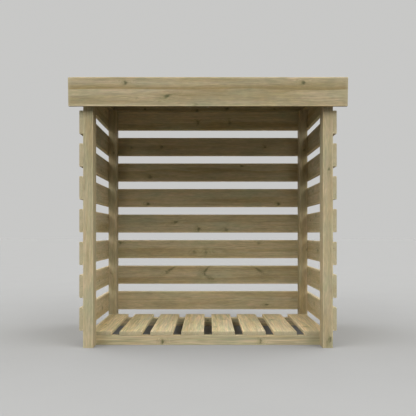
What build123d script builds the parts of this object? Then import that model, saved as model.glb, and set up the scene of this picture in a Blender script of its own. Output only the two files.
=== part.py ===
from build123d import *

# Slatted log store: four posts, open board walls on three sides, a raised slat floor
# and a lean-to roof that falls towards the open front, closed there by a deep fascia.
# The origin is on the ground at the middle of the plan. X runs along the open front,
# +Y points to the back and +Z up. Left and right are as seen from the open front.
# Lengths are millimetres and angles are degrees.

import math
import os

# Frame of four posts
FRAME_WIDTH = 1100.0  # outer face to outer face of the posts, along the front
FRAME_DEPTH = 710.0  # front of the front posts to the back of the back posts
POST_WIDTH = 44.0  # along the front
POST_DEPTH = 70.0  # from front to back

# Wall boards, spaced alike on the back and on both sides
BOARD_WIDTH = 103.0
BOARD_THICKNESS = 17.0
BOARD_GAP = 41.5
BOARD_COUNT = 8
LOWEST_BOARD_HEIGHT = 76.0  # from the ground to the underside of the lowest board

# Floor of slats on two rails, fitted between the front and the back posts
RAIL_HEIGHT = 43.0
RAIL_THICKNESS = 32.0
SLAT_WIDTH = 103.0
SLAT_THICKNESS = 17.0
LEAST_SLAT_GAP = 36.0
FLOOR_CLEARANCE = 8.0  # from the floor's ends to the side boards

# Roof panel of boards on a frame of flat bearers
ROOF_PITCH = 3.6  # fall towards the front
FRONT_OVERHANG = 45.0  # from the posts to the foremost edge of the fascia
BACK_OVERHANG = 10.0  # from the back boards to the rear edge of the roof
SIDE_OVERHANG = 39.0  # from the side boards to the roof's edge
BEARER_HEIGHT = 22.0
BEARER_DEPTH = 44.0
ROOF_BOARD_THICKNESS = 16.0
ROOF_BOARD_COUNT = 12
ROOF_BOARD_JOINT = 1.0  # open joint between neighbouring roof boards
FASCIA_HEIGHT = 125.0
FASCIA_THICKNESS = 17.0

# Machined timbers have their long arrises taken off by this much
ARRIS = 2.0

# Places that follow from the sizes above
body_width = FRAME_WIDTH + 2 * BOARD_THICKNESS
overall_depth = FRONT_OVERHANG + FRAME_DEPTH + BOARD_THICKNESS + BACK_OVERHANG
overall_front = -overall_depth / 2
overall_back = overall_depth / 2
frame_front = overall_front + FRONT_OVERHANG
frame_back = frame_front + FRAME_DEPTH
board_pitch = BOARD_WIDTH + BOARD_GAP
wall_top = LOWEST_BOARD_HEIGHT + BOARD_COUNT * board_pitch - BOARD_GAP
post_x = (FRAME_WIDTH - POST_WIDTH) / 2
front_post_y = frame_front + POST_DEPTH / 2
back_post_y = frame_back - POST_DEPTH / 2

# The roof panel is laid out in its own plane, which lies on the post tops. Its origin is
# over the back of the back posts, its Y runs up the slope and its Z stands off the slope.
pitch_sine = math.sin(math.radians(ROOF_PITCH))
pitch_cosine = math.cos(math.radians(ROOF_PITCH))
roof_plane = Plane(
    origin=(0, frame_back, wall_top),
    x_dir=(1, 0, 0),
    z_dir=(0, -pitch_sine, pitch_cosine),
)
roof_width = body_width + 2 * SIDE_OVERHANG
roof_build_up = BEARER_HEIGHT + ROOF_BOARD_THICKNESS
eaves = (overall_front - frame_back + roof_build_up * pitch_sine) / pitch_cosine
ridge = (overall_back - frame_back + BEARER_HEIGHT * pitch_sine) / pitch_cosine
deck_front = eaves + FASCIA_THICKNESS

STANDING = (Align.CENTER, Align.CENTER, Align.MIN)


def timber(size_x, size_y, size_z, run):
    """A squared timber on its origin, centred in X and Y, its arrises along run taken off."""
    block = Box(size_x, size_y, size_z, align=STANDING)
    return chamfer(block.edges().filter_by(run), ARRIS)


def space_above_walls():
    """Everything above the plane of the post tops, which trims the posts and side boards."""
    return roof_plane * Box(2 * roof_width, 4 * overall_depth, 2 * wall_top, align=STANDING)


def posts():
    """Four posts on the ground, their tops cut to the slope of the roof."""
    cut = space_above_walls()
    post = timber(POST_WIDTH, POST_DEPTH, wall_top, Axis.Z)
    for depth_name, y in (("front", front_post_y), ("back", back_post_y)):
        for side_name, x in (("left", -post_x), ("right", post_x)):
            yield f"{depth_name}_{side_name}_post", Pos(x, y, 0) * post - cut


def back_boards():
    """Boards on the back of the back posts, numbered from the ground, covering the corners."""
    board = timber(body_width, BOARD_THICKNESS, BOARD_WIDTH, Axis.X)
    y = frame_back + BOARD_THICKNESS / 2
    for index in range(BOARD_COUNT):
        z = LOWEST_BOARD_HEIGHT + index * board_pitch
        yield f"back_board_{index + 1}", Pos(0, y, z) * board


def side_boards():
    """Boards on the outer faces of the posts, numbered from the ground, the top one tapered."""
    cut = space_above_walls()
    board = timber(BOARD_THICKNESS, FRAME_DEPTH, BOARD_WIDTH, Axis.Y)
    x = (FRAME_WIDTH + BOARD_THICKNESS) / 2
    y = frame_front + FRAME_DEPTH / 2
    for side_name, side in (("left", -1), ("right", 1)):
        for index in range(BOARD_COUNT):
            z = LOWEST_BOARD_HEIGHT + index * board_pitch
            yield f"{side_name}_board_{index + 1}", Pos(side * x, y, z) * board - cut


def floor_pieces():
    """Two rails on the ground between the front and back posts, and the slats across them."""
    floor_width = FRAME_WIDTH - 2 * FLOOR_CLEARANCE
    floor_front = frame_front + POST_DEPTH
    floor_back = frame_back - POST_DEPTH
    rail = timber(floor_width, RAIL_THICKNESS, RAIL_HEIGHT, Axis.X)
    yield "floor_front_rail", Pos(0, floor_front + RAIL_THICKNESS / 2, 0) * rail
    yield "floor_back_rail", Pos(0, floor_back - RAIL_THICKNESS / 2, 0) * rail

    slat_count = int((floor_width + LEAST_SLAT_GAP) / (SLAT_WIDTH + LEAST_SLAT_GAP))
    slat_pitch = (floor_width - SLAT_WIDTH) / (slat_count - 1)
    slat = timber(SLAT_WIDTH, floor_back - floor_front, SLAT_THICKNESS, Axis.Y)
    for index in range(slat_count):
        x = (index - (slat_count - 1) / 2) * slat_pitch
        yield f"floor_slat_{index + 1}", Pos(x, (floor_front + floor_back) / 2, RAIL_HEIGHT) * slat


def roof_bearers():
    """A frame under the roof boards: a bearer along each side wall and two across between them,
    behind the fascia and over the joint of the back posts and back boards."""
    side_length = BOARD_THICKNESS - deck_front
    side_bearer = timber(BEARER_DEPTH, side_length, BEARER_HEIGHT, Axis.Y)
    side_x = (body_width - BEARER_DEPTH) / 2
    for side_name, x in (("left", -side_x), ("right", side_x)):
        yield f"{side_name}_bearer", roof_plane * Pos(x, deck_front + side_length / 2, 0) * side_bearer

    cross_bearer = timber(body_width - 2 * BEARER_DEPTH, BEARER_DEPTH, BEARER_HEIGHT, Axis.X)
    bearer_fronts = {
        "front_bearer": deck_front,
        "rear_bearer": BOARD_THICKNESS - BEARER_DEPTH,
    }
    for name, front in bearer_fronts.items():
        yield name, roof_plane * Pos(0, front + BEARER_DEPTH / 2, 0) * cross_bearer


def roof_boards():
    """Roof boards side by side, running down the slope from the back to the fascia."""
    joints_width = (ROOF_BOARD_COUNT - 1) * ROOF_BOARD_JOINT
    width = (roof_width - joints_width) / ROOF_BOARD_COUNT
    length = ridge - deck_front
    board = timber(width, length, ROOF_BOARD_THICKNESS, Axis.Y)
    laid = []
    for index in range(ROOF_BOARD_COUNT):
        x = (index - (ROOF_BOARD_COUNT - 1) / 2) * (width + ROOF_BOARD_JOINT)
        laid.append(roof_plane * Pos(x, deck_front + length / 2, BEARER_HEIGHT) * board)
    return Compound(children=laid)


def fascia():
    """The deep board across the eaves, square to the slope and flush with the roof boards."""
    board = timber(roof_width, FASCIA_THICKNESS, FASCIA_HEIGHT, Axis.X)
    foot = roof_build_up - FASCIA_HEIGHT
    return roof_plane * Pos(0, eaves + FASCIA_THICKNESS / 2, foot) * board


def main():
    os.makedirs("parts", exist_ok=True)
    pieces = dict(posts())
    pieces.update(back_boards())
    pieces.update(side_boards())
    pieces.update(floor_pieces())
    pieces.update(roof_bearers())
    pieces["roof_boards"] = roof_boards()
    pieces["fascia"] = fascia()
    for name, piece in pieces.items():
        piece.label = name
        export_step(piece, os.path.join("parts", f"{name}.step"))


main()
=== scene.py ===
import math
import random

import bmesh
import bpy
from bpy.props import FloatProperty, FloatVectorProperty, IntProperty, PointerProperty
from mathutils import Matrix, Vector, noise


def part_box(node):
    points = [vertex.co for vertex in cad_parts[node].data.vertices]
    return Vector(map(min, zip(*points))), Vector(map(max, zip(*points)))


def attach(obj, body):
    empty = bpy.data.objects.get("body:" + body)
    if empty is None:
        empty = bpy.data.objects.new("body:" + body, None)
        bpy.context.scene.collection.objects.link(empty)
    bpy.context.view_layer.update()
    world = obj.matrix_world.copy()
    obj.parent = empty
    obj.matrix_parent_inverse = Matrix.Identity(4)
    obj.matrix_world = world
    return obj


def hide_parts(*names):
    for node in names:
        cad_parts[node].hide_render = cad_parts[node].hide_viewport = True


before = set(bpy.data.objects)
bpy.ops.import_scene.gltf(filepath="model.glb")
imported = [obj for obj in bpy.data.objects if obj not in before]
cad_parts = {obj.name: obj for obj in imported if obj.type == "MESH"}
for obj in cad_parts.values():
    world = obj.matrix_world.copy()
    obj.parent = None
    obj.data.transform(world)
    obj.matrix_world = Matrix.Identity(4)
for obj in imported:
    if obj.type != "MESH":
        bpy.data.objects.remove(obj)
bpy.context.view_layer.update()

bl_info = {
    "name": "Slatted log store",
    "version": (1, 0, 0),
    "blender": (4, 5, 0),
    "location": "3D View > Sidebar > Log store",
    "description": "Dresses the timbers of a slatted garden log store and sets up its studio",
    "category": "Add Mesh",
}

BODY = "root"

X_AXIS = Vector((1, 0, 0))
Y_AXIS = Vector((0, 1, 0))
Z_AXIS = Vector((0, 0, 1))
SIDES = {"left": -X_AXIS, "right": X_AXIS}

# The photograph's frame and where its one vanishing point lies, in pixels, and the sensor in millimetres
PHOTO_SIDE = 416
VANISHING_X = 208
VANISHING_Y = 234
FOCAL_PIXELS = 568
SENSOR = 36.0

# Knots that the photograph shows: pixel column and row, radius along the board and across it in millimetres,
# and for some the turn of a slanting one in degrees and the strength of a faint one
KNOTS_IN_PHOTO = {
    "fascia": (
        (126, 82.8, 9, 8), (167.5, 96, 15, 7, 18), (137, 98, 4, 4, 0, 0.6), (196.5, 104.3, 9, 5, 0, 0.6),
        (303.8, 82.8, 9, 8)),
    "back_board_8": ((198, 123, 7, 14, 0, 0.6), (229.6, 123, 7, 16, 0, 0.6)),
    "back_board_7": ((131.6, 147.8, 8, 7, 0, 0.7), (162, 147, 9, 8, 0, 0.7), (265, 147, 7, 7, 0, 0.7)),
    "back_board_6": ((242, 166, 10, 6), (150.5, 177, 12, 9, 0, 0.7)),
    "back_board_5": ((148, 204, 11, 7), (278.6, 204, 9, 7)),
    "back_board_4": ((176, 222, 13, 6, 15), (199, 229, 9, 11), (226.5, 229.6, 12, 9, 0, 0.6)),
    "back_board_3": (
        (120.4, 243, 8, 10, 0, 0.7), (258.7, 243, 9, 8, 0, 0.6), (194.4, 252, 8, 12, 0, 0.5),
        (206.2, 252, 9, 13, 0, 0.5)),
    "back_board_2": (
        (170, 270, 30, 7, 33, 0.8), (206, 270, 25, 7, 46, 0.8), (205, 274.8, 19, 7, -52, 0.8),
        (211.5, 278.5, 16, 8, -20, 0.4), (259, 270.3, 24, 7, 150, 0.8)),
    "back_board_1": ((267, 304.6, 10, 5),),
    "floor_front_rail": ((162.8, 341.8, 6, 10), (261, 341.3, 6, 10)),
    "front_left_post": (),
    "front_right_post": ((330, 340, 13, 11, 0, 0.85), (329, 169, 7, 5, 0, 0.8)),
}
MILLIMETRE = 0.001

# The turn of a knot that doesn't slant, and the strength of a mark that isn't faint
LEVEL = 0
PLAIN = 1.0

# Neighbouring knots are written to these attributes in turn, so that they may overlap
KNOT_LAYERS = ("knot", "next_knot")

# How pale some timbers are beside the wall boards. For the top back board and the back rail this is painted
# light, lifting their shade under the roof and under the slats; for the slats it is painted light from
# above.
POST_TONE = 0.90
TOP_BACK_BOARD_PAINTED_LIGHT = 1.16
FRONT_RAIL_TONE = 0.93
BACK_RAIL_PAINTED_LIGHT = 1.5
SLAT_PAINTED_LIGHT = 1.47
BEARER_TONE = 0.8
ROOF_TONE = 0.86
FASCIA_TONE = 0.95

# For each kind of timber: how strong the painted highlight along its eased edges is, how uneven its grain is
# and how drawn out, and how green its patches are
TIMBER_LOOKS = {
    "post_timber": (0.14, 1.0, 1.0, 1.0),
    "wall_timber": (0.36, 1.0, 1.0, 1.0),
    "floor_timber": (0.18, 1.6, 3.0, 0.8),
    "roof_timber": (0.20, 1.0, 1.0, 1.0),
    "fascia_timber": (0.34, 1.0, 1.0, 0.6),
}

# Drifts of the colour from broad to fine: features to the metre along and across the grain, change in
# lightness and change in hue. They share one detail and roughness.
GRAIN_DRIFTS = ((2.5, 10, 0.22, 0.07), (9, 60, 0.38, 0.14), (28, 170, 0.65, 0.14))
DRIFT_DETAIL = (3.0, 0.6)

# Brown heartwood seams that the photograph shows: pixel row, strength, and breadth beside a common seam
SEAMS_IN_PHOTO = {
    "fascia": (87.1, 1.0, 1.35),
    "back_board_6": (172, 0.6, 1.0),
    "back_board_4": (215, 0.35, 1.0),
}

# Clouds that the marks come from: features to the metre along the grain and across it, detail and roughness
SPECKLE = (60, 120, 3.0, 0.5)
KNOT_BEND = (75, 110, 2.0, 0.5)
PITH_WANDER = (1.1, 3, 2.0, 0.5)
RING_RIPPLE = (5, 50, 3.0, 0.5)
BANDS = (0.9, 17, 3.0, 0.5)
STREAKS = (1.8, 75, 4.0, 0.6)
PATCHES = (4, 11, 3.0, 0.5)
FIBRE = (35, 1300, 2.0, 0.5)
ZINC_MOTTLE = (600, 600, 4.0, 0.5)
FLOOR_CLOUD = (3, 3, 3.0, 0.5)

# Where in its cloud, or on the arris, a mark starts to show and where it shows in full
SPECKLE_SHOWS = (0.28, 0.62)
LATEWOOD_SHOWS = (0.2, 0.75)
BANDS_SHOW = (0.48, 0.70)
STREAKS_SHOW = (0.52, 0.74)
PATCHES_SHOW = (0.42, 0.70)
# The arris mark is a painted highlight along the eased edges
ARRIS_HIGHLIGHT_SHOWS = (0.55, 1.0)

# How much of its own colour each mark lays over the wood
LATEWOOD_SHARE = 0.75
STREAK_SHARE = 0.45
END_GRAIN_SHARE = 0.55
STAIN_SHARE = 0.45
KNOT_SHARE = 0.85
# The ring round each fixing head is a dark damp ring, with painted shade in the crease round the head
RING_DAMP_AND_SHADE_SHARE = 0.6

# Least share of the brown bands and of the green patches, and how much more some timbers have
BROWN_LEAST, BROWN_SPREAD = 0.35, 0.5
GREEN_LEAST, GREEN_SPREAD = 0.3, 0.55

# Roughness of the bare wood, what marks add to it, and how far they stand up or sink
BARE_ROUGHNESS = 0.70
ROUGHNESS_SHARES = {"late": -0.08, "fibre": 0.12, "heart": -0.15}
RELIEF_SHARES = {"late": 0.5, "fibre": 0.5, "heart": -0.8, "dent_and_ring_shade": -1.5}
RELIEF_STRENGTH = 0.5
WOOD_SPECULAR = 0.35

# Mean shade of the faintly mottled floor
FLOOR_MOTTLE = 0.98

# Where the broad lights stand: bearing from the open front, height above the horizon and spread, in degrees
LIGHT_PLACES = {
    "side_light": ((-60, 12, 40), (60, 12, 40)),
    "flank_light": ((-90, 50, 60), (90, 50, 60)),
    "front_light": ((-34, 31, 34), (34, 31, 34)),
    "high_light": ((0, 55, 60),),
    "rear_light": ((-148, 25, 60), (148, 25, 60)),
}


class TimberShape(bpy.types.PropertyGroup):
    """Sizes that every timber of the store shares."""

    arris: FloatProperty(
        name="Arris", description="Width of the eased long edges", default=0.0016, unit="LENGTH")
    wall_arris: FloatProperty(
        name="Wall arris", description="Width of the eased long edges of wall boards", default=0.003,
        unit="LENGTH")
    sawn_edge: FloatProperty(
        name="Sawn edge", description="Width of the crisp edges round a sawn end", default=0.0008,
        unit="LENGTH")
    arris_steps: IntProperty(
        name="Arris steps", description="Facets round each eased edge", default=3, min=1)
    step: FloatProperty(
        name="Step", description="Spacing of cross loops along a timber", default=0.014, unit="LENGTH")
    lane: FloatProperty(
        name="Lane", description="Spacing of the loops that run along a timber", default=0.015,
        unit="LENGTH")
    hollow: FloatProperty(
        name="Hollow", description="How far the planed faces dip between high spots",
        default=0.0004, unit="LENGTH")
    chip: FloatProperty(
        name="Chip", description="How deep knocks bite into the arrises", default=0.0022, unit="LENGTH")
    check_width: FloatProperty(
        name="Check width", description="Width of a drying crack where it leaves the board's end",
        default=0.0016, unit="LENGTH")
    check_depth: FloatProperty(
        name="Check depth", description="Depth of a drying crack", default=0.006, unit="LENGTH")


class SoftwoodFinish(bpy.types.PropertyGroup):
    """Colours and grain of the pressure-treated softwood."""

    earlywood: FloatVectorProperty(
        name="Earlywood", description="Pale wood between the ring lines",
        subtype="COLOR", size=4, default=(0.515, 0.425, 0.262, 1))
    latewood: FloatVectorProperty(
        name="Latewood", description="Darker wood of the ring lines",
        subtype="COLOR", size=4, default=(0.35, 0.268, 0.132, 1))
    streak: FloatVectorProperty(
        name="Streak", description="Brown streaks along the grain",
        subtype="COLOR", size=4, default=(0.335, 0.255, 0.112, 1))
    treatment: FloatVectorProperty(
        name="Treatment", description="Green-grey cast that the treatment leaves in patches",
        subtype="COLOR", size=4, default=(0.39, 0.375, 0.235, 1))
    stain: FloatVectorProperty(
        name="Stain", description="Green stain round the knots",
        subtype="COLOR", size=4, default=(0.205, 0.205, 0.080, 1))
    knot: FloatVectorProperty(
        name="Knot", description="Dark heart of a knot",
        subtype="COLOR", size=4, default=(0.090, 0.092, 0.034, 1))
    end_grain: FloatVectorProperty(
        name="End grain", description="Sawn ends of the timbers",
        subtype="COLOR", size=4, default=(0.44, 0.385, 0.24, 1))
    # This colour is laid as painted shade at the bottom of the cracks, and as a dark damp ring with painted
    # shade round the fixing heads
    crack: FloatVectorProperty(
        name="Crack", description="Bottom of the drying cracks",
        subtype="COLOR", size=4, default=(0.05, 0.042, 0.022, 1))
    ring_spacing: FloatProperty(
        name="Ring spacing", description="From one ring line to the next", default=0.0042, unit="LENGTH")
    relief: FloatProperty(
        name="Relief", description="Height of the raised grain", default=0.0006, unit="LENGTH")


class FixingSizes(bpy.types.PropertyGroup):
    """Sizes of the screws and nails."""

    screw_head: FloatProperty(
        name="Screw head", description="Radius of a screw head", default=0.0042, unit="LENGTH")
    screw_lift: FloatProperty(
        name="Screw lift", description="How far the crown of a screw head stands out", default=0.0006,
        unit="LENGTH")
    nail_head: FloatProperty(
        name="Nail head", description="Radius of a lost-head nail", default=0.0017, unit="LENGTH")
    zinc: FloatVectorProperty(
        name="Zinc", description="Passivated zinc of the fixings",
        subtype="COLOR", size=4, default=(0.42, 0.40, 0.33, 1))


class StudioSetup(bpy.types.PropertyGroup):
    """Camera, floor and lights."""

    camera_distance: FloatProperty(
        name="Camera distance", description="From the front of the posts to the camera", default=2.5,
        unit="LENGTH")
    camera_height: FloatProperty(
        name="Camera height", description="From the ground to the camera", default=0.502, unit="LENGTH")
    floor_colour: FloatVectorProperty(
        name="Floor", description="Pale studio floor, as it is seen", subtype="COLOR", size=4,
        default=(0.345, 0.345, 0.34, 1))
    floor_return: FloatProperty(
        name="Floor return", description="Share of its colour that the floor throws back on the store",
        default=0.35, subtype="FACTOR")
    surround: FloatVectorProperty(
        name="Surround", description="Colour of the even light from all round", subtype="COLOR", size=4,
        default=(0.97, 0.98, 1.0, 1))
    surround_strength: FloatProperty(
        name="Surround strength", description="Strength of the even light", default=0.02)
    side_light: FloatProperty(
        name="Side lights", description="Strength of each of the two low lights at the sides", default=0.45)
    flank_light: FloatProperty(
        name="Flank lights", description="Strength of each of the two lights high up at the sides",
        default=1.95)
    front_light: FloatProperty(
        name="Front lights", description="Strength of each of the two lights in front", default=1.06)
    high_light: FloatProperty(
        name="High light", description="Strength of the light high up in front", default=0.32)
    rear_light: FloatProperty(
        name="Rear lights", description="Strength of each of the two lights behind", default=0.9)


# Reading the frame

def node_points(node):
    """Every corner of a CAD node, in the shared frame."""
    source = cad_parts[node]
    return [source.matrix_world @ vertex.co for vertex in source.data.vertices]


def node_middle(node):
    """The middle of a CAD node's box."""
    low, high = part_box(node)
    return (Vector(low) + Vector(high)) / 2


def solids_of(node):
    """The corners of each separate solid of a CAD node, from left to right."""
    merge_distance = 1e-6
    bm = bmesh.new()
    bm.from_mesh(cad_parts[node].data)
    bmesh.ops.remove_doubles(bm, verts=bm.verts, dist=merge_distance)
    waiting = set(bm.verts)
    solids = []
    while waiting:
        reached = [waiting.pop()]
        for vertex in reached:
            for edge in vertex.link_edges:
                other = edge.other_vert(vertex)
                if other in waiting:
                    waiting.remove(other)
                    reached.append(other)
        solids.append([vertex.co.copy() for vertex in reached])
    bm.free()
    return sorted(solids, key=lambda corners: min(corner.x for corner in corners))


def roof_normal():
    """The upward normal of the roof's slope."""
    steep = 0.9
    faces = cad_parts["roof_boards"].data.polygons
    return sum((f.normal * f.area for f in faces if f.normal.z > steep), Vector()).normalized()


ROOF_UP = roof_normal()
UP_SLOPE = ROOF_UP.cross(X_AXIS)
ROOF_SEAT = max(ROOF_UP.dot(point) for point in node_points("back_left_post"))
WALL_ROWS = sum(node.startswith("back_board_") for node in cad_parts)
SLATS = sum(node.startswith("floor_slat_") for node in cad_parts)


def timber_place(points, run, face):
    """A matrix at the middle of the points, x along the run and z out of the face, and the size there."""
    axes = Matrix((run, face.cross(run), face))
    local = [axes @ point for point in points]
    low = Vector(min(p[i] for p in local) for i in range(3))
    high = Vector(max(p[i] for p in local) for i in range(3))
    place = Matrix.Translation(axes.transposed() @ ((low + high) / 2)) @ axes.transposed().to_4x4()
    return place, high - low


# Shaping one timber

def everything(bm):
    """All the geometry of a bmesh, as an operator takes it."""
    return bm.verts[:] + bm.edges[:] + bm.faces[:]


def runs_along(edge, axis):
    """Whether an edge lies along one of the timber's own axes."""
    straight = 0.99
    return abs((edge.verts[1].co - edge.verts[0].co).normalized()[axis]) > straight


def cut_loops(bm, axis, spacing):
    """Divides the edges that run along an axis, about as far apart as the spacing."""
    lines = [e for e in bm.edges if runs_along(e, axis)]
    longest = max(e.calc_length() for e in lines)
    lines = [e for e in lines if e.calc_length() > longest / 2]
    cuts = max(1, round(longest / spacing) - 1)
    bmesh.ops.subdivide_edges(bm, edges=lines, cuts=cuts, use_grid_fill=True)


def ease(bm, edges, width, steps):
    """Rounds off some edges."""
    bmesh.ops.bevel(
        bm, geom=edges, offset=width, offset_type="OFFSET", segments=steps, profile=0.5, affect="EDGES",
        material=-1, clamp_overlap=True)


def eased_block(size, trim, arris):
    """A squared timber, cut to the trim plane, eased along its edges, crisp at its ends, and looped."""
    shape = bpy.context.scene.log_store_timber
    square = 0.9
    bm = bmesh.new()
    wear = bm.verts.layers.float_vector.new("wear")
    bmesh.ops.create_cube(bm, size=1.0)
    bmesh.ops.scale(bm, vec=size, verts=bm.verts)
    if trim:
        bmesh.ops.bisect_plane(
            bm, geom=everything(bm), plane_co=trim[0], plane_no=trim[1], clear_outer=True)
        bmesh.ops.holes_fill(bm, edges=[e for e in bm.edges if e.is_boundary], sides=0)
    ease(bm, [e for e in bm.edges if runs_along(e, 0)], arris, shape.arris_steps)
    bm.normal_update()
    ends = [f for f in bm.faces if abs(f.normal.x) > square]
    ease(bm, list({e for f in ends for e in f.edges}), shape.sawn_edge, 1)
    cut_loops(bm, 0, shape.step)
    cut_loops(bm, 1, shape.lane)
    cut_loops(bm, 2, shape.lane)
    arris_reach, end_reach = arris * 1.05, 2 * shape.sawn_edge
    for vertex in bm.verts:
        depths = [half - abs(c) for half, c in zip(size / 2, vertex.co)]
        on_arris = depths[1] < arris_reach and depths[2] < arris_reach
        on_end = depths[0] < end_reach
        # The arris mask serves the chips and a painted highlight; the third part, empty here, later holds
        # painted shade in the cracks
        vertex[wear] = (float(on_arris), float(on_end), 0.0)
    return bm


def weather(bm, size, seed):
    """Dips the faces a little and knocks chips out of the arrises, always inwards."""
    shape = bpy.context.scene.log_store_timber
    wear = bm.verts.layers.float_vector["wear"]
    half = size / 2
    dips_along, dips_across = 4, 25
    chips_along, chips_across, chips_apart, spared = 28, 40, 9, 0.28
    fading_inwards = 6
    for vertex in bm.verts:
        x, y, z = vertex.co
        swell = noise.noise((dips_along * x + seed, dips_across * y, dips_across * z))
        chip_place = (chips_along * x + seed, chips_across * y + chips_apart, chips_across * z)
        knock = noise.noise(chip_place) - spared
        dip = shape.hollow * (1 + swell) / 2
        dip += shape.chip * max(0.0, knock) * vertex[wear].x
        for axis in (1, 2):
            nearness = abs(vertex.co[axis]) / half[axis]
            vertex.co[axis] -= math.copysign(dip * nearness ** fading_inwards, vertex.co[axis])


def open_check(bm, size, end, lane, length, face):
    """A drying crack that runs in from one end of a timber, in one of its faces."""
    shape = bpy.context.scene.log_store_timber
    wear = bm.verts.layers.float_vector["wear"]
    half_width = shape.check_width / 2
    near = half_width / 10
    darkening = 3
    for offset in (-half_width, 0.0, half_width):
        bmesh.ops.bisect_plane(
            bm, geom=everything(bm), plane_co=(0, lane + offset, 0), plane_no=(0, 1, 0), dist=near)
    for vertex in bm.verts:
        opened = 1 - (size.x / 2 - end * vertex.co.x) / length
        offset = vertex.co.y - lane
        if opened <= 0 or abs(offset) > half_width + near or vertex.co.z * face <= 0:
            continue
        if abs(offset) < near:
            vertex.co.z -= face * shape.check_depth * math.sqrt(opened)
            # Painted shade at the bottom of the crack
            vertex[wear].z = min(1.0, darkening * opened)
        else:
            vertex.co.y = lane + offset * opened


def nearest(marks, x, y, stretch):
    """The nearest of some marks, each (x, y, radius along, radius across, turn, strength), as an offset in
    radii and a weight.

    The weight falls to nothing away from the mark and half way to the next one.
    """
    reach, fade, apart, far_off = 2.2, 1.4, 0.8, 9
    found = []
    for mark_x, mark_y, along, across, turn, strength in marks:
        cosine, sine = math.cos(turn), math.sin(turn)
        dx = ((x - mark_x) * cosine + (y - mark_y) * sine) / along
        dy = ((y - mark_y) * cosine - (x - mark_x) * sine) / across
        found.append((math.hypot(dx * stretch, dy), dx, dy, strength))
    if not found:
        return Vector((far_off, far_off, 0))
    found.sort()
    distance, dx, dy, strength = found[0]
    weight = strength * min(1.0, max(0.0, 1 - (distance - reach) / fade))
    if len(found) > 1:
        weight *= min(1.0, (found[1][0] - distance) / apart)
    return Vector((dx, dy, weight))


def mark_grain(bm, rng, knots, fixings, pith, seam, tone_and_painted_light):
    """Writes what the softwood material reads: place in the timber, pith, colour cast and lightness with any
    painted light, seam, knots and fixings.
    """
    shifts, tones = (3, 90), (0.93, 1.06)
    swings, waves, seam_widths = (0.002, 0.005), (9, 17), (0.007, 0.012)
    knot_stretch, round_stretch = 0.45, 1.0
    layers = bm.verts.layers.float_vector
    place, heart, tint = layers.new("place"), layers.new("pith"), layers.new("tint")
    fixing, heartwood = layers.new("fixing"), layers.new("seam")
    knot_layers = [layers.new(name) for name in KNOT_LAYERS]
    in_order = sorted(knots)
    shift = rng.uniform(*shifts)
    # The first part is the timber's lightness, which holds painted light for some timbers
    cast = Vector((tone_and_painted_light * rng.uniform(*tones), rng.uniform(0, 1), rng.uniform(0, 1)))
    seam_middle, seam_strength, breadth = seam
    swing, wave, seam_width = (rng.uniform(*span) for span in (swings, waves, seam_widths))
    for vertex in bm.verts:
        x, y, z = vertex.co
        vertex[place] = (x + shift, y, z)
        vertex[heart] = pith
        vertex[tint] = cast
        for index, layer in enumerate(knot_layers):
            vertex[layer] = nearest(in_order[index::len(knot_layers)], x, y, knot_stretch)
        vertex[fixing] = nearest(fixings, x, y, round_stretch)
        off_seam = y - seam_middle - swing * math.sin(wave * x + shift)
        vertex[heartwood] = (off_seam / (seam_width * breadth), seam_strength, 0)


def scattered_knots(size, rng):
    """Knots where the photograph shows none, a few to the metre."""
    spacing, margin = 0.30, 0.05
    crowding, in_bay, across = (0.5, 1.2), (0.25, 0.75), (-0.42, 0.42)
    radii, slants = (0.004, 0.006, 0.008, 0.010), (-0.5, 0.5)
    lengthening, strengths = (0.9, 1.4), (0.6, 1.0)
    count = max(1, round(size.x / spacing * rng.uniform(*crowding)))
    bay = (size.x - 2 * margin) / count
    knots = []
    for index in range(count):
        x = -size.x / 2 + margin + bay * (index + rng.uniform(*in_bay))
        y = size.y * rng.uniform(*across)
        radius = rng.choice(radii)
        turn = rng.uniform(*slants)
        knots.append((x, y, radius * rng.uniform(*lengthening), radius, turn, rng.uniform(*strengths)))
    return knots


def seen_at(column, row, place, size):
    """The point on a timber's seen face behind a pixel of the photograph, in the timber's own axes."""
    inverse = place.inverted()
    eye = inverse @ camera_place()
    seen_face = math.copysign(size.z / 2, eye.z)
    ray = inverse.to_3x3() @ Vector((column - VANISHING_X, FOCAL_PIXELS, VANISHING_Y - row))
    return eye + ray * ((seen_face - eye.z) / ray.z)


def photo_knots(node, place, size):
    """The knots that the photograph shows on a timber, carried from pixels to the face that is seen."""
    upright = math.copysign(1.0, place.col[1].z)
    knots = []
    for column, row, along, across, *more in KNOTS_IN_PHOTO[node]:
        turn, strength = (*more, *(LEVEL, PLAIN)[len(more):])
        spot = seen_at(column, row, place, size)
        slant = upright * math.radians(turn)
        knots.append((spot.x, spot.y, along * MILLIMETRE, across * MILLIMETRE, slant, strength))
    return knots


def heartwood_seam(node, place, size, rng):
    """The middle of a timber's brown seam, across the timber, its strength and its breadth."""
    across, strengths = (-0.4, 0.4), (-0.3, 0.55)
    middle = size.y * rng.uniform(*across)
    strength, breadth = max(0.0, rng.uniform(*strengths)), 1.0
    if node in SEAMS_IN_PHOTO:
        row, strength, breadth = SEAMS_IN_PHOTO[node]
        middle = seen_at(VANISHING_X, row, place, size).y
    return middle, strength, breadth


def gather(joined, bm):
    """Adds one bmesh to another and frees it."""
    carrier = bpy.data.meshes.new("carrier")
    bm.to_mesh(carrier)
    bm.free()
    joined.from_mesh(carrier)
    bpy.data.meshes.remove(carrier)


def new_object(name, bm, material):
    """Turns a bmesh into an object of the scene."""
    mesh = bpy.data.meshes.new(name)
    bm.to_mesh(mesh)
    bm.free()
    mesh.materials.append(material)
    made = bpy.data.objects.new(name, mesh)
    bpy.context.scene.collection.objects.link(made)
    return made


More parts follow.
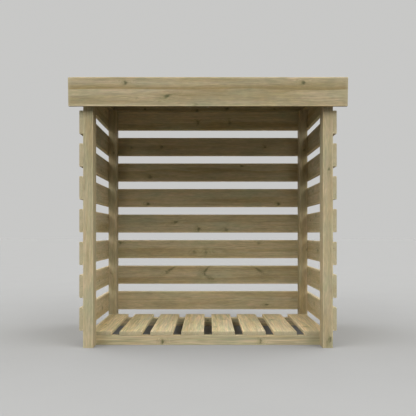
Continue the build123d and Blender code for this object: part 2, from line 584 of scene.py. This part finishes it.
def timber_piece(node, run, face, slot, fixings=(), trimmed=False, checks=0.5, tone_and_painted_light=1.0):
    """Makes the piece that stands for one CAD node, one timber for each of its solids."""
    shape = bpy.context.scene.log_store_timber
    arris = shape.wall_arris if slot == "wall_timber" else shape.arris
    seeds, check_lanes, check_lengths = (0, 100), (-0.36, 0.36), (0.03, 0.11)
    pith_across, pith_depths = (-0.6, 0.6), (0.012, 0.06)
    favour_broad_faces = 100
    joined = bmesh.new()
    for index, points in enumerate(solids_of(node)):
        rng = random.Random(f"{node} {index}")
        place, size = timber_place(points, run, face)
        inverse = place.inverted()
        trim = (inverse @ (ROOF_UP * ROOF_SEAT), inverse.to_3x3() @ ROOF_UP) if trimmed else None
        bm = eased_block(size, trim, arris)
        weather(bm, size, rng.uniform(*seeds))
        for end in (-1, 1):
            if rng.random() < checks:
                lane = size.y * rng.uniform(*check_lanes)
                open_check(bm, size, end, lane, rng.uniform(*check_lengths), rng.choice((-1, 1)))
        knots = photo_knots(node, place, size) if node in KNOTS_IN_PHOTO else scattered_knots(size, rng)
        heads = [(*(inverse @ point).xy, radius, radius, LEVEL, PLAIN) for point, radius in fixings]
        pith_side = rng.choice((-1, 1))
        pith = Vector((size.y * rng.uniform(*pith_across), pith_side * rng.uniform(*pith_depths), 0.0))
        mark_grain(bm, rng, knots, heads, pith, heartwood_seam(node, place, size, rng), tone_and_painted_light)
        bmesh.ops.recalc_face_normals(bm, faces=bm.faces)
        bm.transform(place)
        gather(joined, bm)
    for polygon in joined.faces:
        polygon.smooth = True
    piece = new_object(f"{node}_timber", joined, softwood(slot))
    weighted = piece.modifiers.new("Flat faces", "WEIGHTED_NORMAL")
    weighted.weight = favour_broad_faces
    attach(piece, BODY)
    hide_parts(node)


# Materials

def new_material(name):
    """A new node material, with its tree and its shader."""
    material = bpy.data.materials.new(name)
    material.use_nodes = True
    return material, material.node_tree, material.node_tree.nodes["Principled BSDF"]


def shaded(colour, share):
    """A colour with each channel cut to a share of itself."""
    return tuple(channel * share for channel in colour[:3]) + (1,)


def add_node(tree, kind, inputs=None, **settings):
    """Adds a node, with its settings and its inputs, each a value or a socket to link."""
    made = tree.nodes.new(kind)
    for name, value in settings.items():
        setattr(made, name, value)
    for name, value in (inputs or {}).items():
        if isinstance(value, bpy.types.NodeSocket):
            tree.links.new(value, made.inputs[name])
        else:
            made.inputs[name].default_value = value
    return made


def calc(tree, operation, *values):
    """A Math node's result."""
    return add_node(tree, "ShaderNodeMath", dict(enumerate(values)), operation=operation).outputs[0]


def centred(tree, value):
    """A cloud's value, moved so that it varies about nothing."""
    return calc(tree, "SUBTRACT", value, 0.5)


def added_up(tree, start, marks, shares):
    """A starting value with a share of each named mark added to it."""
    total = start
    for name, share in shares.items():
        total = calc(tree, "MULTIPLY_ADD", marks[name], share, total)
    return total


def split(tree, vector):
    """The three parts of a vector or a colour."""
    return add_node(tree, "ShaderNodeSeparateXYZ", {0: vector}).outputs


def attribute(tree, name):
    """One of the piece's own attributes."""
    return add_node(tree, "ShaderNodeAttribute", attribute_name=name).outputs["Vector"]


def cloud(tree, vector, kind):
    """Noise that may be stretched along the grain, as one of the kinds of cloud says."""
    along, across, detail, rough = kind
    placed = add_node(
        tree, "ShaderNodeVectorMath", {0: vector, 1: (along, across, across)}, operation="MULTIPLY")
    made = add_node(
        tree, "ShaderNodeTexNoise",
        {"Vector": placed.outputs[0], "Scale": 1.0, "Detail": detail, "Roughness": rough})
    return made.outputs


def rise(tree, value, low, high):
    """A smooth step from 0 at low to 1 at high."""
    return add_node(
        tree, "ShaderNodeMapRange", {"Value": value, "From Min": low, "From Max": high},
        interpolation_type="SMOOTHSTEP").outputs[0]


def distance(tree, along, across):
    """The length of an offset given by its two parts."""
    across_squared = calc(tree, "MULTIPLY", across, across)
    return calc(tree, "SQRT", calc(tree, "MULTIPLY_ADD", along, along, across_squared))


def blend(tree, amount, under, over, kind="MIX"):
    """One colour over another."""
    return add_node(
        tree, "ShaderNodeMix", {0: amount, 6: under, 7: over}, data_type="RGBA", blend_type=kind).outputs[2]


def coated(tree, colour, coats):
    """A colour under coats of others, each given by its mark, the share that shows and its colour."""
    for mark, share, coat in coats:
        colour = blend(tree, calc(tree, "MULTIPLY", mark, share), colour, tuple(coat))
    return colour


def knot_marks(tree, place, patchy):
    """The dark heart of the knots, the stain round them and the swell of the grain about them."""
    bending, taper, thinnest = 1.6, 0.4, 0.4
    heart_rim, stain_rim, swell_rim = (1.5, 0.3), (2.2, 0.2), (2.6, 0.0)
    stain_squeeze, swell_squeeze = 0.45, 0.42
    mottling, solidity = 0.35, 0.65
    bent = split(tree, cloud(tree, place, KNOT_BEND)["Color"])
    bend_along, bend_across = (centred(tree, bent[axis]) for axis in (0, 1))
    mottled = calc(tree, "MULTIPLY_ADD", patchy, mottling, solidity)
    made = None
    for name in KNOT_LAYERS:
        knot = split(tree, attribute(tree, name))
        along = calc(tree, "MULTIPLY_ADD", bend_along, bending, knot[0])
        across = calc(tree, "MULTIPLY_ADD", bend_across, bending, knot[1])
        narrowing = calc(tree, "MAXIMUM", calc(tree, "MULTIPLY_ADD", along, taper, 1.0), thinnest)
        across = calc(tree, "MULTIPLY", across, narrowing)
        heart = calc(tree, "MULTIPLY", rise(tree, distance(tree, along, across), *heart_rim), mottled)
        stain_along = calc(tree, "MULTIPLY", along, stain_squeeze)
        stain = calc(tree, "MULTIPLY", rise(tree, distance(tree, stain_along, across), *stain_rim), patchy)
        swell_along = calc(tree, "MULTIPLY", knot[0], swell_squeeze)
        swell = rise(tree, distance(tree, swell_along, knot[1]), *swell_rim)
        marks = [calc(tree, "MULTIPLY", mark, knot[2]) for mark in (heart, stain, swell)]
        made = [calc(tree, "MAXIMUM", *pair) for pair in zip(made, marks)] if made else marks
    return made


def ring_lines(tree, place, pith, swell):
    """The dark wood of each growth ring, round a pith that wanders along the timber."""
    wander_reach, ripple_reach, swell_reach = 0.05, 0.0035, 0.016
    darkens, ends = (0.25, 0.88), (1.0, 0.93)
    spacing = bpy.context.scene.log_store_finish.ring_spacing
    wander = split(tree, cloud(tree, place, PITH_WANDER)["Color"])
    own = split(tree, place)
    off_pith = []
    for axis, centre in ((1, pith[0]), (2, pith[1])):
        drift = calc(tree, "MULTIPLY", centred(tree, wander[axis]), wander_reach)
        off_pith.append(calc(tree, "SUBTRACT", calc(tree, "ADD", own[axis], drift), centre))
    ripple = centred(tree, cloud(tree, place, RING_RIPPLE)["Fac"])
    radius = calc(tree, "MULTIPLY_ADD", ripple, ripple_reach, distance(tree, *off_pith))
    radius = calc(tree, "MULTIPLY_ADD", swell, swell_reach, radius)
    rings = calc(tree, "FRACT", calc(tree, "DIVIDE", radius, spacing))
    return calc(tree, "MULTIPLY", rise(tree, rings, *darkens), rise(tree, rings, *ends))


def uneven(tree, colour, place, kind, lightness, hue):
    """A colour that drifts with a cloud in lightness and, less, in each channel by itself."""
    drift = cloud(tree, place, kind)
    paler = calc(tree, "MULTIPLY_ADD", drift["Fac"], lightness, 1 - (lightness + hue) / 2)
    share = add_node(
        tree, "ShaderNodeVectorMath", {0: drift["Color"], 1: (hue,) * 3, 2: paler},
        operation="MULTIPLY_ADD")
    return blend(tree, 1.0, colour, share.outputs[0], "MULTIPLY")


def side_grain_colour(tree, slot, place, late, tint, seam):
    """The colour of the long faces, laid on from the broad to the fine."""
    _, unevenness, drawn_out, greenness = TIMBER_LOOKS[slot]
    seam_ragged, seam_starts, seam_fades = 1.6, (-1.1, -0.7), (1.7, -0.7)
    finish = bpy.context.scene.log_store_finish
    bands = cloud(tree, place, BANDS)["Fac"]
    streaks = cloud(tree, place, STREAKS)["Fac"]
    patches = cloud(tree, place, PATCHES)["Fac"]
    lines = calc(tree, "MULTIPLY", late, rise(tree, streaks, *LATEWOOD_SHOWS))
    brown = calc(tree, "MULTIPLY_ADD", tint[2], BROWN_SPREAD, BROWN_LEAST)
    green = calc(tree, "MULTIPLY_ADD", tint[1], GREEN_SPREAD * greenness, GREEN_LEAST * greenness)
    ragged = calc(tree, "MULTIPLY_ADD", centred(tree, streaks), seam_ragged, seam[0])
    band = calc(tree, "MULTIPLY", rise(tree, ragged, *seam_starts), rise(tree, ragged, *seam_fades))
    coats = (
        (lines, LATEWOOD_SHARE, finish.latewood),
        (rise(tree, bands, *BANDS_SHOW), brown, finish.streak),
        (rise(tree, streaks, *STREAKS_SHOW), STREAK_SHARE, finish.streak),
        (rise(tree, patches, *PATCHES_SHOW), green, finish.treatment),
        (band, seam[1], finish.streak),
    )
    colour = coated(tree, tuple(finish.earlywood), coats)
    for along, across, lightness, hue in GRAIN_DRIFTS:
        kind = (along / drawn_out, across, *DRIFT_DETAIL)
        colour = uneven(tree, colour, place, kind, lightness * unevenness, hue * unevenness)
    return colour


def softwood(slot):
    """Pressure-treated softwood: rings round a pith, knots, streaks, treated patches, a painted highlight
    along the arrises.
    """
    name = f"treated_{slot}"
    if name in bpy.data.materials:
        return bpy.data.materials[name]
    finish = bpy.context.scene.log_store_finish
    material, tree, shader = new_material(name)
    place = attribute(tree, "place")
    pith, tint, wear, fixing, seam = (
        split(tree, attribute(tree, mark)) for mark in ("pith", "tint", "wear", "fixing", "seam"))

    # The marks that colour, gloss and relief share
    dent_ring_rim = (1.45, 1.0)
    patchy = rise(tree, cloud(tree, place, SPECKLE)["Fac"], *SPECKLE_SHOWS)
    heart, stain, swell = knot_marks(tree, place, patchy)
    late = ring_lines(tree, place, pith, swell)
    fibre = cloud(tree, place, FIBRE)["Fac"]
    # A dent round each fixing head, and a dark damp ring there with painted shade in the crease
    dent_and_ring_shade = calc(tree, "MULTIPLY", rise(tree, distance(tree, *fixing[:2]), *dent_ring_rim), fixing[2])
    marks = {"late": late, "fibre": fibre, "heart": heart, "dent_and_ring_shade": dent_and_ring_shade}

    # Colour: side grain, then ends and knots, then the timber's tone with painted light for some timbers and
    # a painted highlight on the arrises, then painted shade in the cracks and a dark damp ring with painted
    # shade round the fixing heads
    colour = side_grain_colour(tree, slot, place, late, tint, seam)
    coats = (
        (wear[1], END_GRAIN_SHARE, finish.end_grain),
        (stain, STAIN_SHARE, finish.stain),
        (heart, KNOT_SHARE, finish.knot),
    )
    colour = coated(tree, colour, coats)
    mean_light, fibre_light, painted_edge_highlight = 0.94, 0.12, TIMBER_LOOKS[slot][0]
    side_grain = calc(tree, "SUBTRACT", 1.0, wear[1])
    # Lightness from the timber's tone, which holds painted light for the slats, the back rail and the top
    # back board
    light = calc(tree, "MULTIPLY_ADD", calc(tree, "SUBTRACT", tint[0], 1.0), side_grain, mean_light)
    light = calc(tree, "MULTIPLY_ADD", fibre, fibre_light, light)
    # A painted highlight along the eased edges
    light = calc(tree, "MULTIPLY_ADD", rise(tree, wear[0], *ARRIS_HIGHLIGHT_SHOWS), painted_edge_highlight, light)
    shade = add_node(tree, "ShaderNodeCombineXYZ", {0: light, 1: light, 2: light}).outputs[0]
    colour = blend(tree, 1.0, colour, shade, "MULTIPLY")
    # Painted shade at the bottom of the cracks, and a dark damp ring with painted shade round the fixing
    # heads
    dark = calc(tree, "MAXIMUM", wear[2], calc(tree, "MULTIPLY", dent_and_ring_shade, RING_DAMP_AND_SHADE_SHARE))
    colour = blend(tree, dark, colour, tuple(finish.crack))
    tree.links.new(colour, shader.inputs["Base Color"])

    # Gloss and relief
    rough = added_up(tree, BARE_ROUGHNESS, marks, ROUGHNESS_SHARES)
    tree.links.new(rough, shader.inputs["Roughness"])
    height = added_up(tree, 0.0, marks, RELIEF_SHARES)
    raised = {"Height": height, "Strength": RELIEF_STRENGTH, "Distance": finish.relief}
    bump = add_node(tree, "ShaderNodeBump", raised)
    tree.links.new(bump.outputs[0], shader.inputs["Normal"])
    shader.inputs["Specular IOR Level"].default_value = WOOD_SPECULAR
    return material


def zinc():
    """Dull passivated zinc with a mottled gloss, for the screws and nails."""
    name = "zinc_fixings"
    if name in bpy.data.materials:
        return bpy.data.materials[name]
    fixing_zinc = bpy.context.scene.log_store_fixings.zinc
    dulling, dull_shows = 0.45, (0.35, 0.7)
    least_roughness, roughness_spread = 0.25, 0.4
    material, tree, shader = new_material(name)
    where = add_node(tree, "ShaderNodeTexCoord").outputs["Object"]
    mottle = cloud(tree, where, ZINC_MOTTLE)["Fac"]
    colour = blend(tree, rise(tree, mottle, *dull_shows), tuple(fixing_zinc), shaded(fixing_zinc, dulling))
    tree.links.new(colour, shader.inputs["Base Color"])
    rough = calc(tree, "MULTIPLY_ADD", mottle, roughness_spread, least_roughness)
    tree.links.new(rough, shader.inputs["Roughness"])
    shader.inputs["Metallic"].default_value = 1.0
    return material


# Fixings

def sink_rim(bm, depth):
    """Carries the rim of a head down into the wood."""
    wall = bmesh.ops.extrude_edge_only(bm, edges=[e for e in bm.edges if e.is_boundary])
    below = [g for g in wall["geom"] if isinstance(g, bmesh.types.BMVert)]
    bmesh.ops.translate(bm, vec=(0, 0, -depth), verts=below)
    bmesh.ops.recalc_face_normals(bm, faces=bm.faces)


def screw_shape():
    """A countersunk screw head with a raised crown and a cross recess, its face along +z."""
    sizes = bpy.context.scene.log_store_fixings
    radius = sizes.screw_head
    lines = (-1.0, -0.56, -0.14, 0.14, 0.56, 1.0)
    cells = len(lines) - 1
    next_cell, on_axis = 1.1, 0.1
    recess_lip, recess_depth = radius * 0.03, radius * 0.3
    bm = bmesh.new()
    bmesh.ops.create_grid(bm, x_segments=cells, y_segments=cells, size=cells / 2)
    rim = {v for v in bm.verts if v.is_boundary}
    middle = [f for f in bm.faces if max(abs(c) for c in f.calc_center_median().xy) < next_cell]
    cross = [f for f in middle if min(abs(c) for c in f.calc_center_median().xy) < on_axis]
    for vertex in bm.verts:
        x, y = (lines[round(c + cells / 2)] for c in vertex.co.xy)
        flat = Vector((x, y, 0))
        if vertex in rim:
            flat = flat.normalized()
        vertex.co = flat * radius
        vertex.co.z = sizes.screw_lift * (1 - flat.length_squared)
    bmesh.ops.inset_region(bm, faces=cross, thickness=recess_lip, depth=0)
    for vertex in {v for f in cross for v in f.verts}:
        vertex.co.z -= recess_depth
    sink_rim(bm, radius / 2)
    return bm


def nail_shape():
    """The small flat head of a lost-head nail, its face along +z."""
    radius = bpy.context.scene.log_store_fixings.nail_head
    facets, lip, rise_of_face = 10, radius * 0.3, radius * 0.12
    bm = bmesh.new()
    bmesh.ops.create_circle(bm, cap_ends=True, radius=radius, segments=facets)
    bmesh.ops.inset_region(bm, faces=bm.faces[:], thickness=lip, depth=rise_of_face)
    sink_rim(bm, radius)
    return bm


def fixings_piece(name, shape, heads):
    """Sets a copy of a head at each place, facing out, as one piece."""
    rng = random.Random(name)
    joined = bmesh.new()
    for point, outward in heads:
        turn = Matrix.Rotation(rng.uniform(0, math.tau), 4, "Z")
        facing = outward.to_track_quat("Z", "Y").to_matrix().to_4x4()
        one = shape.copy()
        one.transform(Matrix.Translation(point) @ facing @ turn)
        gather(joined, one)
    shape.free()
    piece = new_object(name, joined, zinc())
    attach(piece, BODY)


def pairs_across(node, run, face, seats, share=0.27):
    """Two fixing places on a timber's outer face over the middle of each seat, as (point, outward)."""
    rng = random.Random(f"fixings {node}")
    slack = 0.003
    places = []
    for points in solids_of(node):
        place, size = timber_place(points, run, face)
        for seat in seats:
            along = (place.inverted() @ node_middle(seat)).x
            for side in (-1, 1):
                jog = Vector((rng.uniform(-slack, slack), rng.uniform(-slack, slack), 0))
                local = Vector((along, side * share * size.y, size.z / 2)) + jog
                places.append((place @ local, face))
    return places


def side_screws(side):
    """Screws through every board of one side into the front and back posts."""
    seats = (f"front_{side}_post", f"back_{side}_post")
    nodes = (f"{side}_board_{row}" for row in range(1, WALL_ROWS + 1))
    return {node: pairs_across(node, Y_AXIS, SIDES[side], seats) for node in nodes}


def back_screws():
    """Screws through every back board into the back posts."""
    seats = ("back_left_post", "back_right_post")
    nodes = (f"back_board_{row}" for row in range(1, WALL_ROWS + 1))
    return {node: pairs_across(node, X_AXIS, Y_AXIS, seats) for node in nodes}


def roof_screws():
    """Screws through the roof boards into the bearers."""
    return {"roof_boards": pairs_across(
        "roof_boards", UP_SLOPE, ROOF_UP, ("front_bearer", "rear_bearer"))}


def slat_nails():
    """Nails through the floor slats into the rails."""
    nodes = (f"floor_slat_{slat}" for slat in range(1, SLATS + 1))
    seats = ("floor_front_rail", "floor_back_rail")
    return {node: pairs_across(node, Y_AXIS, Z_AXIS, seats) for node in nodes}


def listed(heads):
    """All places of a fixing table in one list."""
    return [place for places in heads.values() for place in places]


def with_radius(places, radius):
    """Fixing places as the boards take them, each with the radius of its head."""
    return [(point, radius) for point, _ in places]


# Operators

class LOG_STORE_OT_posts(bpy.types.Operator):
    """Four posts, their tops cut to the slope of the roof"""

    bl_idname = "log_store.posts"
    bl_label = "Posts"

    def execute(self, context):
        for row in ("front", "back"):
            for side in SIDES:
                timber_piece(
                    f"{row}_{side}_post", Z_AXIS, -Y_AXIS, "post_timber", trimmed=True, tone_and_painted_light=POST_TONE)
        return {"FINISHED"}


class LOG_STORE_OT_back_wall(bpy.types.Operator):
    """Boards across the back and their screws"""

    bl_idname = "log_store.back_wall"
    bl_label = "Back wall"

    def execute(self, context):
        radius = context.scene.log_store_fixings.screw_head
        heads = back_screws()
        for node, places in heads.items():
            # The top back board is painted paler, as painted light lifting its shade under the roof
            tone_and_painted_light = TOP_BACK_BOARD_PAINTED_LIGHT if node == f"back_board_{WALL_ROWS}" else 1.0
            timber_piece(node, X_AXIS, Y_AXIS, "wall_timber", with_radius(places, radius), tone_and_painted_light=tone_and_painted_light)
        fixings_piece("back_screws", screw_shape(), listed(heads))
        return {"FINISHED"}


class LOG_STORE_OT_side_walls(bpy.types.Operator):
    """Boards along both sides and their screws"""

    bl_idname = "log_store.side_walls"
    bl_label = "Side walls"

    def execute(self, context):
        radius = context.scene.log_store_fixings.screw_head
        for side, face in SIDES.items():
            heads = side_screws(side)
            for node, places in heads.items():
                timber_piece(node, Y_AXIS, face, "wall_timber", with_radius(places, radius), trimmed=True)
            fixings_piece(f"{side}_screws", screw_shape(), listed(heads))
        return {"FINISHED"}


class LOG_STORE_OT_raised_floor(bpy.types.Operator):
    """Two rails, the slats across them and their nails"""

    bl_idname = "log_store.raised_floor"
    bl_label = "Raised floor"

    def execute(self, context):
        radius = context.scene.log_store_fixings.nail_head
        # The back rail is painted paler, as painted light lifting its shade under the slats
        for node, tone_and_painted_light in (("floor_front_rail", FRONT_RAIL_TONE), ("floor_back_rail", BACK_RAIL_PAINTED_LIGHT)):
            timber_piece(node, X_AXIS, -Y_AXIS, "floor_timber", checks=0.0, tone_and_painted_light=tone_and_painted_light)
        heads = slat_nails()
        for node, places in heads.items():
            marks = with_radius(places, radius)
            # The slats are painted paler, as painted light from above
            timber_piece(node, Y_AXIS, Z_AXIS, "floor_timber", marks, checks=0.3, tone_and_painted_light=SLAT_PAINTED_LIGHT)
        fixings_piece("slat_nails", nail_shape(), listed(heads))
        return {"FINISHED"}


class LOG_STORE_OT_roof(bpy.types.Operator):
    """Bearers, roof boards with their screws, and the fascia"""

    bl_idname = "log_store.roof"
    bl_label = "Roof"

    def execute(self, context):
        radius = context.scene.log_store_fixings.screw_head
        for node in ("front_bearer", "rear_bearer"):
            timber_piece(node, X_AXIS, -UP_SLOPE, "roof_timber", checks=0.0, tone_and_painted_light=BEARER_TONE)
        for side, face in SIDES.items():
            timber_piece(f"{side}_bearer", UP_SLOPE, face, "roof_timber", checks=0.0, tone_and_painted_light=BEARER_TONE)
        heads = roof_screws()
        for node, places in heads.items():
            marks = with_radius(places, radius)
            timber_piece(node, UP_SLOPE, ROOF_UP, "roof_timber", marks, tone_and_painted_light=ROOF_TONE)
        fixings_piece("roof_screws", screw_shape(), listed(heads))
        timber_piece("fascia", X_AXIS, -UP_SLOPE, "fascia_timber", checks=0.0, tone_and_painted_light=FASCIA_TONE)
        return {"FINISHED"}


def camera_place():
    """Where the camera stands, in front of the posts."""
    studio = bpy.context.scene.log_store_studio
    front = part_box("front_left_post")[0][1]
    return Vector((0, front - studio.camera_distance, studio.camera_height))


def broad_light(name, bearing, height, spread, strength):
    """A broad, even light from far off, at a bearing from the open front and a height above the horizon."""
    lamp = bpy.data.lights.new(name, "SUN")
    lamp.angle = spread
    lamp.energy = strength
    holder = bpy.data.objects.new(name, lamp)
    level = math.cos(height)
    source = Vector((math.sin(bearing) * level, -math.cos(bearing) * level, math.sin(height)))
    holder.rotation_euler = source.to_track_quat("Z", "Y").to_euler()
    bpy.context.scene.collection.objects.link(holder)


class LOG_STORE_OT_studio(bpy.types.Operator):
    """Pale floor, soft lights and the camera at the photograph's angle"""

    bl_idname = "log_store.studio"
    bl_label = "Studio"

    def execute(self, context):
        scene = context.scene
        studio = scene.log_store_studio
        lit = studio.surround_strength
        for name, places in LIGHT_PLACES.items():
            strength = getattr(studio, name)
            for index, place in enumerate(places):
                bearing, height, spread = (math.radians(angle) for angle in place)
                broad_light(f"{name}_{index + 1}", bearing, height, spread, strength)
                lit += strength * math.sin(height) / math.pi
        self.lay_floor(studio)
        self.light_surround(scene, studio, lit)
        self.set_camera(scene)
        return {"FINISHED"}

    def set_camera(self, scene):
        """A level camera whose shift puts the vanishing point where the photograph has it."""
        camera = bpy.data.cameras.new("camera")
        camera.sensor_width = SENSOR
        camera.lens = FOCAL_PIXELS * SENSOR / PHOTO_SIDE
        camera.shift_y = (VANISHING_Y - PHOTO_SIDE / 2) / PHOTO_SIDE
        camera.shift_x = (PHOTO_SIDE / 2 - VANISHING_X) / PHOTO_SIDE
        holder = bpy.data.objects.new("camera", camera)
        holder.location = camera_place()
        holder.rotation_euler = (math.pi / 2, 0, 0)
        scene.collection.objects.link(holder)
        scene.camera = holder
        scene.view_settings.view_transform = "Standard"

    def light_surround(self, scene, studio, lit):
        """Even light from all round, and for the camera alone a backdrop as bright as the floor."""
        world = bpy.data.worlds.new("surround")
        world.use_nodes = True
        tree = world.node_tree
        even = tree.nodes["Background"]
        even.inputs["Color"].default_value = studio.surround
        even.inputs["Strength"].default_value = studio.surround_strength
        backdrop = {"Color": tuple(studio.floor_colour), "Strength": lit * FLOOR_MOTTLE}
        seen = add_node(tree, "ShaderNodeBackground", backdrop)
        ray = add_node(tree, "ShaderNodeLightPath").outputs["Is Camera Ray"]
        choice = add_node(tree, "ShaderNodeMixShader", {0: ray, 1: even.outputs[0], 2: seen.outputs[0]})
        tree.links.new(choice.outputs[0], tree.nodes["World Output"].inputs["Surface"])
        scene.world = world

    def lay_floor(self, studio):
        """A wide floor just under the feet, faintly mottled."""
        half_width, matt, no_shine = 60.0, 0.85, 0.0
        bm = bmesh.new()
        bmesh.ops.create_grid(bm, x_segments=2, y_segments=2, size=half_width)
        material, tree, shader = new_material("studio_floor")
        where = add_node(tree, "ShaderNodeTexCoord").outputs["Object"]
        mottle = cloud(tree, where, FLOOR_CLOUD)["Fac"]
        deeper = shaded(studio.floor_colour, 2 * FLOOR_MOTTLE - 1)
        seen = blend(tree, mottle, tuple(studio.floor_colour), deeper)
        thrown_back = shaded(studio.floor_colour, studio.floor_return)
        ray = add_node(tree, "ShaderNodeLightPath").outputs["Is Camera Ray"]
        tree.links.new(blend(tree, ray, thrown_back, seen), shader.inputs["Base Color"])
        shader.inputs["Roughness"].default_value = matt
        shader.inputs["Specular IOR Level"].default_value = no_shine
        floor = new_object("studio_floor", bm, material)


class LOG_STORE_PT_panel(bpy.types.Panel):
    """The store's settings and steps, in the sidebar"""

    bl_label = "Log store"
    bl_idname = "LOG_STORE_PT_panel"
    bl_space_type = "VIEW_3D"
    bl_region_type = "UI"
    bl_category = "Log store"

    def draw(self, context):
        for title, group in SETTINGS.items():
            box = self.layout.box()
            settings = getattr(context.scene, title)
            for name in group.__annotations__:
                box.prop(settings, name)
        for step in STEPS:
            self.layout.operator(step.bl_idname)


SETTINGS = {
    "log_store_timber": TimberShape,
    "log_store_finish": SoftwoodFinish,
    "log_store_fixings": FixingSizes,
    "log_store_studio": StudioSetup,
}
STEPS = (
    LOG_STORE_OT_posts,
    LOG_STORE_OT_back_wall,
    LOG_STORE_OT_side_walls,
    LOG_STORE_OT_raised_floor,
    LOG_STORE_OT_roof,
    LOG_STORE_OT_studio,
)


def register():
    """Registers the classes and hangs the settings on the scene."""
    for made in (*SETTINGS.values(), *STEPS, LOG_STORE_PT_panel):
        bpy.utils.register_class(made)
    for title, group in SETTINGS.items():
        setattr(bpy.types.Scene, title, PointerProperty(type=group))


def unregister():
    """Takes the settings and the classes away again."""
    for title in SETTINGS:
        delattr(bpy.types.Scene, title)
    for made in (LOG_STORE_PT_panel, *reversed(STEPS), *reversed(SETTINGS.values())):
        bpy.utils.unregister_class(made)


def main():
    """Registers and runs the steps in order."""
    register()
    for step in STEPS:
        group, name = step.bl_idname.split(".")
        getattr(getattr(bpy.ops, group), name)()


if __name__ == "__main__":
    main()
